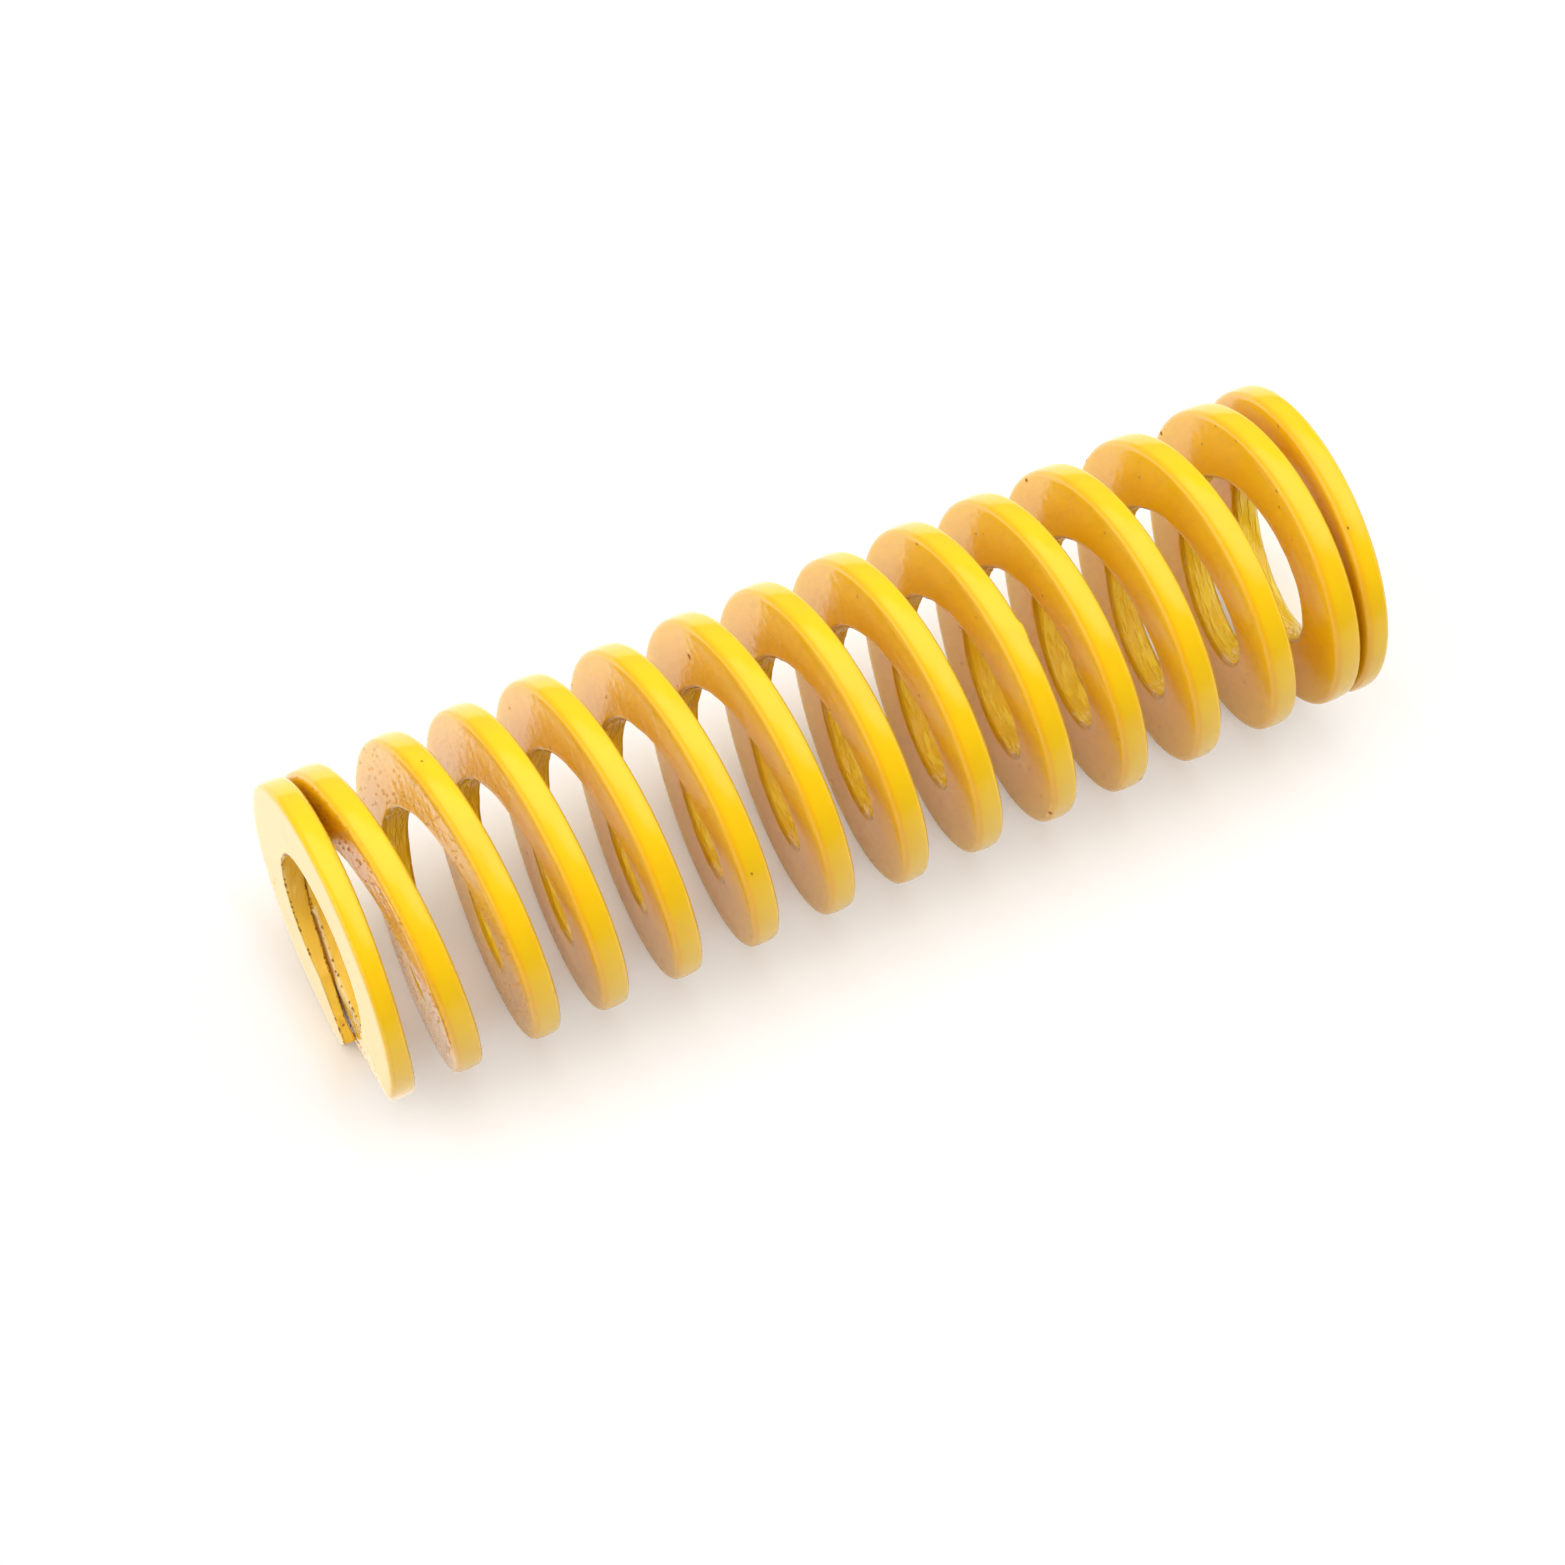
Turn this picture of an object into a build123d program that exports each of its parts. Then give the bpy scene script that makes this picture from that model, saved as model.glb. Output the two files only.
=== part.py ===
from build123d import *
from build123d.topology import SkipClean
import math
import os

# ---------------------------------------------------------------- sizes, mm
# The spring stands on its bottom face. The coil axis is +Z and the origin is
# the centre of the bottom face. Turns are counted down from the top end.

outside_diameter = 19.7      # works in a 20 mm pocket
inside_diameter = 11.0       # works over a 10 mm guide rod
free_length = 65.0           # over the two ground faces, with no load
turns = 15                   # from wire tip to wire tip, closed ends included
wire_thickness = 1.75        # along the axis
corner_chamfer = 0.28        # on all four edges of the wire, in place of a small radius

# Direction of the wire's top tip, seen from above. The wire runs clockwise
# from there as it goes down, which makes a right-hand coil.
start_angle = -90.0

# The closed top end: a turn, and the depth of the wire's lower edge below the
# top face there, in wire thicknesses. Under 1 the wire is thinned by grinding.
top_end = (
    (0.00, 0.50),
    (0.13, 0.42),
    (0.18, 0.41),
    (0.25, 0.52),
    (0.40, 0.76),
    (0.56, 0.94),
    (0.70, 0.86),
    (0.85, 0.76),
    (0.95, 0.90),
    (1.06, 1.34),
    (1.20, 1.59),
    (1.33, 1.80),
    (1.55, 2.22),
    (1.75, 2.74),
)

# The closed bottom end: turns before the wire's end, and the height of the
# wire's lower edge over the bottom face, in wire thicknesses. Below 0 the
# edge is ground away.
bottom_end = (
    (1.25, 1.26),
    (1.05, 0.98),
    (0.90, 0.70),
    (0.75, 0.30),
    (0.63, 0.02),
    (0.50, -0.08),
    (0.25, -0.14),
    (0.00, -0.20),
)

# How far each free turn sits below an even spacing, from the top down.
uneven_coiling = (0.17, -0.32, -0.54, -0.45, -0.34, -0.34, -0.33, -0.25, -0.30, -0.24, 0.03)

# The top tip is sheared on a slant and then cut off square. Both points are
# on the slant, seen from above, as shares of the outside radius.
tip_slant_start = (-0.53, -0.16)
tip_slant_end = (-0.63, -0.60)

# The wire is made this much too wide on each side and the round walls trim it.
trim_allowance = 0.01

sectors_per_turn = 4
sections_per_sector = 7

# ------------------------------------------------------------ derived sizes

outer_radius = outside_diameter / 2
inner_radius = inside_diameter / 2
wire_width = outer_radius - inner_radius
middle_radius = inner_radius + wire_width / 2


def coil_stations():
    """Turns and lower edge depths from the top face, in mm, from the top down."""
    stations = [(turn, share * wire_thickness) for turn, share in top_end]
    bottom = [(turns - back, free_length - share * wire_thickness) for back, share in bottom_end]
    first_turn, first_depth = stations[-1]
    last_turn, last_depth = bottom[0]
    pitch = (last_depth - first_depth) / (last_turn - first_turn)
    free_turns = math.ceil(last_turn - first_turn)
    for step in range(1, free_turns):
        offset = uneven_coiling[step - 1] if step <= len(uneven_coiling) else 0.0
        stations.append((first_turn + step, first_depth + step * pitch + offset))
    return stations + bottom


stations = coil_stations()


def slope_at(index):
    """The coil's slope at one station, chosen so that the curve never overshoots."""
    if index in (0, len(stations) - 1):
        return 0.0
    (t0, d0), (t1, d1), (t2, d2) = stations[index - 1 : index + 2]
    before = (d1 - d0) / (t1 - t0)
    after = (d2 - d1) / (t2 - t1)
    if before * after <= 0:
        return 0.0
    w0 = 2 * (t2 - t1) + (t1 - t0)
    w1 = (t2 - t1) + 2 * (t1 - t0)
    return (w0 + w1) / (w0 / before + w1 / after)


def lower_edge_depth(turn):
    """Depth of the wire's lower edge below the top face at this turn."""
    index = max(i for i, (t, _) in enumerate(stations[:-1]) if t <= turn + 1e-9)
    (t0, d0), (t1, d1) = stations[index : index + 2]
    span = t1 - t0
    u = (turn - t0) / span
    rise = (3 - 2 * u) * u**2
    leave = slope_at(index) * span * u * (1 - u) ** 2
    arrive = slope_at(index + 1) * span * (u - 1) * u**2
    return d0 + rise * (d1 - d0) + leave + arrive


def wire_section(outline, turn):
    """The wire's outline at this turn, standing in a plane through the axis."""
    angle = math.radians(start_angle - 360 * turn)
    out = Vector(math.cos(angle), math.sin(angle), 0)
    height = free_length - lower_edge_depth(turn) + wire_thickness / 2
    centre = out * middle_radius + Vector(0, 0, height)
    return Plane(origin=centre, x_dir=out, z_dir=Vector(0, 0, 1).cross(out)) * outline


def spring_envelope():
    """The tube the spring fills: its two round walls and its two ground faces."""
    up = (Align.CENTER, Align.CENTER, Align.MIN)
    outside = Cylinder(outer_radius, free_length, align=up)
    return outside - Cylinder(inner_radius, free_length, align=up)


def tip_outline():
    """What the shears leave of the first quarter turn, seen from above."""
    slant_end_y = tip_slant_end[1]
    corners = [
        (-0.45, 0.10),
        tip_slant_start,
        tip_slant_end,
        (-1.20, slant_end_y),
        (-1.20, 0.10),
    ]
    points = [(x * outer_radius, y * outer_radius) for x, y in corners]
    return extrude(make_face(Polyline(points, close=True)), amount=free_length)


def coil_sector(outline, envelope, start, end):
    """One short arc of wire between two turns, trimmed to the envelope."""
    steps = sections_per_sector - 1
    marks = [start + (end - start) * i / steps for i in range(sections_per_sector)]
    arc = loft([wire_section(outline, mark) for mark in marks])
    return arc & envelope


def make_spring():
    """The whole coil as one solid, with its tips cut and its ends ground."""
    blank = Rectangle(wire_width + 2 * trim_allowance, wire_thickness)
    outline = chamfer(blank.vertices(), corner_chamfer)
    envelope = spring_envelope()
    count = math.ceil(turns * sectors_per_turn - 1e-6)
    sectors = []
    for index in range(count):
        start = index / sectors_per_turn
        end = min(start + 1 / sectors_per_turn, turns)
        sectors.append(coil_sector(outline, envelope, start, end))
    sectors[0] = sectors[0] & tip_outline()
    solids = [sector.solid() for sector in sectors]
    # Each sector keeps its own wall faces, so that every one is a short arc.
    with SkipClean():
        return solids[0].fuse(*solids[1:])


def main():
    os.makedirs("parts", exist_ok=True)
    spring = make_spring()
    export_step(spring, "parts/spring.step")


main()
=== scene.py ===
"""A die spring in glossy yellow enamel, lying on a pale table under soft studio light.

The spring keeps the frame of the solid model: the coil's axis is +Z and the origin is the
centre of its bottom face. It lies on its side, so the table is a plane along that axis.
All sizes are in metres unless a name says otherwise.
"""

import logging
import math
from dataclasses import dataclass, field, replace
from enum import Enum
from typing import Any, Sequence

import bpy
import numpy as np
from mathutils import Matrix, Vector, noise


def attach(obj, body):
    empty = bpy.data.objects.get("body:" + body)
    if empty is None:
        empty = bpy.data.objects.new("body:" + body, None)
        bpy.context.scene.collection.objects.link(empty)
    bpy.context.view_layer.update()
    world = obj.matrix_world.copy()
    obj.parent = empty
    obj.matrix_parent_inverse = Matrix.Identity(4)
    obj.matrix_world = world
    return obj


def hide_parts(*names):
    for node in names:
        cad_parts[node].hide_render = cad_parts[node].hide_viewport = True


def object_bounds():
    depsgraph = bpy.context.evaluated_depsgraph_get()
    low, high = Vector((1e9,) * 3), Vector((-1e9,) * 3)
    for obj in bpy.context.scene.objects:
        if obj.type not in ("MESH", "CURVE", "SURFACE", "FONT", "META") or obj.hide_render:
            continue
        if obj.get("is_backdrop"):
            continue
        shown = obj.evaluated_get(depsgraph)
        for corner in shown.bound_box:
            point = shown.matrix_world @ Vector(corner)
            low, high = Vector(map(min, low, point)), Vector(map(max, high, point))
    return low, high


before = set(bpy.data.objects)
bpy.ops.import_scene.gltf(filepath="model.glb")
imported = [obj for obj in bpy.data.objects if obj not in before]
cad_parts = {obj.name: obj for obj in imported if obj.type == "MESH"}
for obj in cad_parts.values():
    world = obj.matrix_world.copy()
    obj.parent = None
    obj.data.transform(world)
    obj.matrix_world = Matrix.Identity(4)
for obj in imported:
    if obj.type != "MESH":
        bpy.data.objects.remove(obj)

LOG = logging.getLogger("die_spring")
MM = 0.001
COIL_MIDDLE = (0.0, 0.0, 32.5 * MM)
COIL_AXIS = (0.0, 0.0, 1.0)
TINY = 1e-9
BLACK = (0.0, 0.0, 0.0)
WHITE = (1.0, 1.0, 1.0)

Socket = bpy.types.NodeSocket
Number = float | Socket
Pair = tuple[float, float]
Triple = tuple[float, float, float]
Band = tuple[Pair, Pair]


class Side(Enum):
    """The four sides of the wire, in the order in which an outline goes round them."""

    OUTER = 0
    UPPER = 1
    INNER = 2
    LOWER = 3


# ---------------------------------------------------------------- shader help


class Nodes:
    """A short way to build a shader tree: makes nodes and joins their sockets."""

    SPECK_CORE = 0.45

    def __init__(self, tree: bpy.types.NodeTree) -> None:
        """Start on a tree, emptied first."""
        self.tree = tree
        self.tree.nodes.clear()

    def add(self, kind: str, inputs: dict | None = None, **settings: Any) -> bpy.types.Node:
        """Make one node.

        Args:
            kind: The node's type name.
            inputs: Values or output sockets for its inputs, by name or number.
            **settings: Attributes to set on the node.

        Returns:
            The new node.
        """
        node = self.tree.nodes.new(kind)
        for name, value in settings.items():
            setattr(node, name, value)
        for key, value in (inputs or {}).items():
            socket = node.inputs[key]
            if isinstance(value, Socket):
                self.tree.links.new(value, socket)
            else:
                socket.default_value = value
        return node

    def math(self, operation: str, *values: Number) -> Socket:
        """Join numbers or sockets with one Math node and return its output."""
        node = self.add("ShaderNodeMath", dict(enumerate(values)), operation=operation)
        return node.outputs[0]

    def vector_math(self, operation: str, *values: Socket | Triple) -> bpy.types.Node:
        """Join two vectors with one Vector Math node and return the node."""
        return self.add("ShaderNodeVectorMath", dict(enumerate(values)), operation=operation)

    def stretch(self, where: Socket, by: Triple) -> Socket:
        """A point with each of its three measures multiplied."""
        return self.vector_math("MULTIPLY", where, by).outputs[0]

    def distance(self, a: Socket, b: Triple) -> Socket:
        """The distance between two points."""
        return self.vector_math("DISTANCE", a, b).outputs["Value"]

    def dot(self, a: Socket, b: Triple) -> Socket:
        """The dot product of two vectors."""
        return self.vector_math("DOT_PRODUCT", a, b).outputs["Value"]

    def parts(self, vector: Socket) -> tuple[Socket, Socket, Socket]:
        """The three measures of a vector."""
        return tuple(self.add("ShaderNodeSeparateXYZ", {0: vector}).outputs)

    def total(self, *values: Number) -> Number:
        """The sum of several numbers or sockets."""
        result = values[0]
        for value in values[1:]:
            result = self.math("ADD", result, value)
        return result

    def product(self, *values: Number) -> Number:
        """The product of several numbers or sockets."""
        result = values[0]
        for value in values[1:]:
            result = self.math("MULTIPLY", result, value)
        return result

    def most(self, *values: Number) -> Number:
        """The largest of several numbers or sockets."""
        result = values[0]
        for value in values[1:]:
            result = self.math("MAXIMUM", result, value)
        return result

    def rest(self, share: Number) -> Socket:
        """What a share leaves of the whole."""
        return self.math("SUBTRACT", 1.0, share)

    def between(self, share: Number, low: float, high: float) -> Socket:
        """The number that lies a share of the way from low to high."""
        return self.total(self.product(share, high - low), low)

    def noise(self, where: Socket, scale: float, detail: float = 2.0, rough: float = 0.5) -> Socket:
        """A noise value from 0 to 1 at a point.

        Args:
            where: The point.
            scale: How many grains there are in one unit of it.
            detail: How many finer layers are added.
            rough: How strong those layers are.

        Returns:
            The noise's value.
        """
        node = self.add(
            "ShaderNodeTexNoise",
            {"Vector": where, "Scale": scale, "Detail": detail, "Roughness": rough},
        )
        return node.outputs[0]

    def specks(self, where: Socket, per_unit: float, radius: float, kept: float) -> Socket:
        """Scattered round specks, 1 inside a speck and 0 between them.

        Args:
            where: The point.
            per_unit: How many specks there could be along one unit of it.
            radius: A speck's radius, in the same unit.
            kept: The share of them that is kept.

        Returns:
            The specks.
        """
        cells = self.add("ShaderNodeTexVoronoi", {"Vector": where, "Scale": per_unit}, feature="F1")
        chance = self.add("ShaderNodeSeparateColor", {0: cells.outputs["Color"]}).outputs[0]
        near = self.step(cells.outputs["Distance"], radius * per_unit, self.SPECK_CORE * radius * per_unit)
        return self.product(near, self.math("LESS_THAN", chance, kept))

    def step(self, value: Socket, low: float, high: float) -> Socket:
        """A smooth step from 0 at low to 1 at high, either way round.

        Args:
            value: The value to test.
            low: Where the result is 0.
            high: Where the result is 1.

        Returns:
            The result.
        """
        node = self.add(
            "ShaderNodeMapRange",
            {
                "Value": value,
                "From Min": min(low, high),
                "From Max": max(low, high),
                "To Min": float(low > high),
                "To Max": float(low <= high),
            },
            interpolation_type="SMOOTHSTEP",
        )
        return node.outputs[0]

    def band(self, value: Socket, rise: Pair, fall: Pair) -> Socket:
        """A share that rises over one step and falls again over another."""
        return self.product(self.step(value, *rise), self.step(value, *fall))

    def blend(self, share: Number, first: Socket | Triple, second: Socket | Triple) -> Socket:
        """Mix two colours by the second's share, from 0 to 1."""
        node = self.add("ShaderNodeMix", {0: share}, data_type="RGBA")
        for index, value in ((6, first), (7, second)):
            if isinstance(value, Socket):
                self.tree.links.new(value, node.inputs[index])
            else:
                node.inputs[index].default_value = (*value, 1.0)
        return node.outputs[2]


def new_material(name: str) -> tuple[bpy.types.Material, Nodes]:
    """Make an empty material, with the builder of its tree."""
    made = bpy.data.materials.new(name)
    made.use_nodes = True
    return made, Nodes(made.node_tree)


# ------------------------------------------------------------------- finishes


@dataclass(frozen=True)
class PaintMark:
    """One pit or chip in the paint, at its place on the wire. Lengths are in millimetres."""

    turn: float
    across: float
    up: float
    radius: float
    pale_rim: float = 0.0

    def place(self, middle_radius: float) -> Triple:
        """The mark's place in the wire: across, along and up."""
        return (self.across, self.turn * math.tau * middle_radius, self.up)


@dataclass(frozen=True)
class WirePlace:
    """What the paint reads at a point of the wire: its place, and shares from 0 to 1."""

    wire: Socket
    grain: Socket
    across: Socket
    along: Socket
    up: Socket
    outer: Socket
    inner: Socket
    ground: Socket
    side: Socket
    inner_edge: Socket
    cloud: Socket
    by_tip: Socket
    bumpy: Socket
    lumpy: Socket


@dataclass(frozen=True)
class PaintColours:
    """The colours of the enamel, and how strongly each lies over the plain one."""

    plain: Triple = (0.970, 0.60, 0.008)
    thin: Triple = (0.91, 0.48, 0.010)
    thin_share: float = 0.35
    olive: Triple = (0.66, 0.40, 0.035)
    olive_on_sides: float = 0.14
    olive_on_lumps: float = 0.20
    # Painted shade: the inner wall's colour is darker, as the shade inside the bore.
    inner: Triple = (0.88, 0.59, 0.024)
    inner_shade_share: float = 0.85
    # Painted highlight: the colour on the wrinkles of the inner wall.
    lemon_highlight: Triple = (0.99, 0.76, 0.060)
    lemon_share: float = 0.75
    # Painted light: the inner wall near the top tip is lighter, where light comes in at the open end.
    tip: Triple = (1.00, 0.67, 0.100)
    tip_light_share: float = 0.80
    # Painted reflection along the upper outer corner.
    peach_reflection: Triple = (0.98, 0.50, 0.220)
    peach_share: float = 0.26
    # Painted shade: a darker reflection beside the upper outer corner and high on the outer wall.
    orange_shade: Triple = (0.96, 0.46, 0.008)
    orange_on_corner: float = 0.55
    orange_on_wall: float = 0.22
    # Painted shade under the lower outer corner and in the inner corners.
    edge: Triple = (0.42, 0.24, 0.010)
    edge_shade_share: float = 0.50
    # Painted light: the pale colour in the slot under the tip, standing for the light seen there.
    pool: Triple = (1.00, 0.80, 0.420)
    pool_light_share: float = 0.85
    rim: Triple = (0.98, 0.74, 0.360)
    rim_share: float = 0.60
    speck: Triple = (0.34, 0.12, 0.001)
    speck_share: float = 0.90


@dataclass(frozen=True)
class YellowEnamel:
    """Thick glossy enamel over spring steel. Lengths are in millimetres.

    A noise is given as its scale, its layers and their strength; specks as how many there are in
    a unit, their radius and the share kept; an edge as where a step is 0 and where it is 1; and
    a band as its rise and its fall.
    """

    colours: PaintColours = PaintColours()
    roughness: float = 0.11
    cloud_roughness: float = 0.06
    inner_roughness: float = 0.04
    pit_roughness: float = 0.80
    refraction: float = 1.5
    grain: Triple = (350.0, 1000.0, 1000.0)
    cloud_noise: Triple = (0.35, 2.0, 0.6)
    cloud_edge: Pair = (0.45, 0.80)
    blotch_noise: Triple = (1.7, 2.0, 0.65)
    blotch_edge: Pair = (0.50, 0.68)
    streak: Triple = (1.0, 0.22, 1.8)
    streak_noise: Triple = (1.4, 2.0, 0.6)
    streak_edge: Pair = (0.43, 0.63)
    peel_noise: Triple = (1.2, 1.0, 0.5)
    pebble_noise: Triple = (3.2, 2.0, 0.6)
    pebble_range: Pair = (0.2, 0.8)
    few_specks: Triple = (1.2, 0.13, 0.15)
    few_share: float = 0.8
    few_lost_outside: float = 0.5
    burr_specks: Triple = (2.6, 0.20, 0.60)
    burr_edge: Pair = (0.1, 0.4)
    grit_specks: Triple = (3.0, 0.14, 0.75)
    grit_share: float = 0.45
    middle_radius: float = 7.675
    wire_thickness: float = 1.75
    burrs_end_at: float = 66.0
    burrs_fade: float = 6.0
    lumps_end_at: float = 220.0
    lumps_full_at: float = 55.0
    # Where pale light is painted into the slot under the tip.
    pool_along: Band = ((53.0, 54.0), (63.6, 63.2))
    pool_across: Pair = (-1.0, -1.5)
    pool_depth: float = 0.14
    upper_half: Pair = (-0.05, 0.15)
    high_wall: Pair = (-0.65, -0.40)
    off_ground: Pair = (0.3, 0.05)
    # Where the painted reflection and shade lie on the wire's corners.
    peach_band: Band = ((0.02, 0.15), (0.50, 0.28))
    orange_band: Band = ((0.30, 0.50), (1.00, 0.80))
    under_shade_band: Band = ((0.04, 0.20), (0.70, 0.40))
    inner_edge: Pair = (0.55, 0.95)
    outer_peel: float = 0.005
    side_peel: float = 0.018
    lump_peel: float = 0.010
    ground_smoothness: float = 0.8
    wrinkle_height: float = 0.060
    wrinkles_by_tip: float = 0.2
    pit_depth: float = 0.035
    ragged_scale: float = 7.0
    ragged_by: float = 0.12
    mark_floor: float = 0.3
    rim_reach: float = 2.2
    marks: tuple[PaintMark, ...] = (
        PaintMark(6.555, 0.00, 1.75, 0.29, pale_rim=0.8),
        PaintMark(5.848, 2.18, 1.11, 0.11),
        PaintMark(14.759, 2.16, 1.45, 0.13),
        PaintMark(4.805, 0.89, 1.75, 0.16),
        PaintMark(2.616, 2.18, 0.88, 0.11),
        PaintMark(9.959, 1.98, 1.70, 0.24),
        PaintMark(10.967, 2.16, 0.30, 0.24),
        PaintMark(11.501, 1.78, 1.75, 0.20),
        PaintMark(12.458, 1.98, 1.70, 0.16),
        PaintMark(13.457, 1.78, 1.75, 0.20),
    )

    def material(self) -> bpy.types.Material:
        """Build the paint as a material.

        Returns:
            The material, which reads the coil's "wire" and "skin" attributes.
        """
        made, n = new_material("yellow_enamel")
        at = self.places(n)
        wrinkle = self.wrinkles(n, at)
        specks = self.scattered_specks(n, at)
        marks, rims = self.placed_marks(n, at.wire)
        pits = n.most(specks, marks)
        shades = self.colours
        colour = self.painted_corner_light(n, at, self.paint(n, at, wrinkle))
        # Painted light in the slot under the tip.
        colour = n.blend(n.product(self.pale_slot_light(n, at), shades.pool_light_share), colour, shades.pool)
        colour = n.blend(n.product(rims, shades.rim_share), colour, shades.rim)
        colour = n.blend(n.product(pits, shades.speck_share), colour, shades.speck)
        shader = n.add(
            "ShaderNodeBsdfPrincipled",
            {
                "Base Color": colour,
                "Roughness": self.gloss(n, at, pits),
                "Normal": self.relief(n, at, wrinkle, specks),
                "IOR": self.refraction,
            },
        )
        n.add("ShaderNodeOutputMaterial", {"Surface": shader.outputs[0]})
        return made

    def places(self, n: Nodes) -> WirePlace:
        """Read where a point lies on the wire, and what kind of place that is.

        Args:
            n: The tree's builder.

        Returns:
            The place and its shares.
        """
        wire = n.add("ShaderNodeAttribute", attribute_name="wire").outputs["Vector"]
        skin = n.add("ShaderNodeAttribute", attribute_name="skin").outputs["Vector"]
        across, along, up = n.parts(wire)
        outer, inner, ground = n.parts(skin)
        side = n.math("SUBTRACT", n.rest(outer), inner)
        bumpy = n.product(side, n.rest(ground))
        start, end = self.burrs_end_at + self.burrs_fade, self.burrs_end_at - self.burrs_fade
        return WirePlace(
            wire=wire,
            grain=n.stretch(n.add("ShaderNodeTexCoord").outputs["Object"], self.grain),
            across=across,
            along=along,
            up=up,
            outer=outer,
            inner=inner,
            ground=ground,
            side=side,
            inner_edge=n.product(inner, side, 4.0),  # 1 in the middle of a corner
            cloud=n.noise(wire, *self.cloud_noise),
            by_tip=n.step(along, start, end),
            bumpy=bumpy,
            lumpy=n.product(n.step(along, self.lumps_end_at, self.lumps_full_at), bumpy),
        )

    def wrinkles(self, n: Nodes, at: WirePlace) -> Socket:
        """1 on the long wrinkles in the thick paint of the inner wall, few of them near the tip."""
        inside = n.product(at.inner, n.rest(at.by_tip))
        amount = n.total(inside, n.product(at.inner, self.wrinkles_by_tip))
        streak = n.noise(n.stretch(at.wire, self.streak), *self.streak_noise)
        return n.product(n.step(streak, *self.streak_edge), amount)

    def pale_slot_light(self, n: Nodes, at: WirePlace) -> Socket:
        """1 in the slot under the tip, where pale colour is painted in as the light seen there."""
        on_top = n.step(at.up, self.wire_thickness - self.pool_depth, self.wire_thickness)
        across = n.step(at.across, *self.pool_across)
        return n.product(n.band(at.along, *self.pool_along), on_top, across)

    def placed_marks(self, n: Nodes, wire: Socket) -> tuple[Number, Number]:
        """The single pits and chips that have a place of their own.

        Args:
            n: The tree's builder.
            wire: The place in the wire.

        Returns:
            1 inside a mark, and 1 on a pale rim round one.
        """
        ragged = n.product(n.math("SUBTRACT", n.noise(wire, self.ragged_scale), 0.5), self.ragged_by)
        pits: Number = 0.0
        rims: Number = 0.0
        for mark in self.marks:
            away = n.total(n.distance(wire, mark.place(self.middle_radius)), ragged)
            pits = n.most(pits, n.step(away, mark.radius, self.mark_floor * mark.radius))
            if mark.pale_rim:
                rim = n.step(away, self.rim_reach * mark.radius, mark.radius)
                rims = n.most(rims, n.product(rim, mark.pale_rim))
        return pits, rims

    def scattered_specks(self, n: Nodes, at: WirePlace) -> Socket:
        """1 in the paint's grit and pin holes, thickest along the inner edges near the tip."""
        kept = n.math("SUBTRACT", self.few_share, n.product(at.outer, self.few_lost_outside))
        few = n.product(n.specks(at.wire, *self.few_specks), kept)
        on_burrs = n.product(at.by_tip, n.step(at.inner_edge, *self.burr_edge))
        burrs = n.product(n.specks(at.wire, *self.burr_specks), on_burrs)
        grit = n.product(n.specks(at.grain, *self.grit_specks), at.lumpy, self.grit_share)
        return n.most(few, burrs, grit)

    def paint(self, n: Nodes, at: WirePlace, wrinkle: Socket) -> Socket:
        """The paint's colour away from its corners and marks.

        It is thin in clouds and olive on the sides. Painted shade darkens the inner wall, a painted
        highlight lies on the inner wrinkles, painted light brightens the inner wall near the tip, and
        painted shade darkens the outer wall high up.

        Args:
            n: The tree's builder.
            at: The place on the wire.
            wrinkle: 1 on a wrinkle of the inner wall.

        Returns:
            The colour.
        """
        shades = self.colours
        thin = n.product(n.step(at.cloud, *self.cloud_edge), shades.thin_share)
        blotch = n.step(n.noise(at.grain, *self.blotch_noise), *self.blotch_edge)
        on_sides = n.product(at.bumpy, shades.olive_on_sides)
        olive = n.total(on_sides, n.product(at.lumpy, shades.olive_on_lumps))
        # Painted shade: the inner wall is darker away from the tip.
        inside = n.product(at.inner, n.rest(at.by_tip), shades.inner_shade_share)
        high = n.step(at.up, *(self.wire_thickness + by for by in self.high_wall))
        colour = n.blend(thin, shades.plain, shades.thin)
        colour = n.blend(n.product(blotch, olive), colour, shades.olive)
        colour = n.blend(inside, colour, shades.inner)
        # Painted highlight on the wrinkles of the inner wall.
        colour = n.blend(n.product(wrinkle, shades.lemon_share), colour, shades.lemon_highlight)
        # Painted light on the inner wall near the tip.
        colour = n.blend(n.product(at.by_tip, at.inner, shades.tip_light_share), colour, shades.tip)
        # Painted shade: the outer wall is darker high up.
        return n.blend(n.product(high, at.outer, shades.orange_on_wall), colour, shades.orange_shade)

    def painted_corner_light(self, n: Nodes, at: WirePlace, colour: Socket) -> Socket:
        """Painted light and shade on the wire's corners: a pale painted reflection and a darker painted
        reflection along the upper outer corner, and painted shade under the lower outer corner and in the
        inner corners.

        Args:
            n: The tree's builder.
            at: The place on the wire.
            colour: The colour beside the corners.

        Returns:
            The colour.
        """
        shades = self.colours
        upper = n.step(at.up, *(self.wire_thickness / 2 + by for by in self.upper_half))
        sharp = n.product(upper, n.step(at.ground, *self.off_ground))
        peach_reflection = n.product(n.band(at.outer, *self.peach_band), sharp)
        orange_shade = n.product(n.band(at.outer, *self.orange_band), sharp)
        under = n.product(n.band(at.outer, *self.under_shade_band), n.rest(upper))
        # Painted shade under the lower outer corner and in the inner corners.
        dark = n.most(under, n.step(at.inner_edge, *self.inner_edge))
        colour = n.blend(n.product(peach_reflection, shades.peach_share), colour, shades.peach_reflection)
        colour = n.blend(n.product(orange_shade, shades.orange_on_corner), colour, shades.orange_shade)
        return n.blend(n.product(dark, shades.edge_shade_share), colour, shades.edge)

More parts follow.
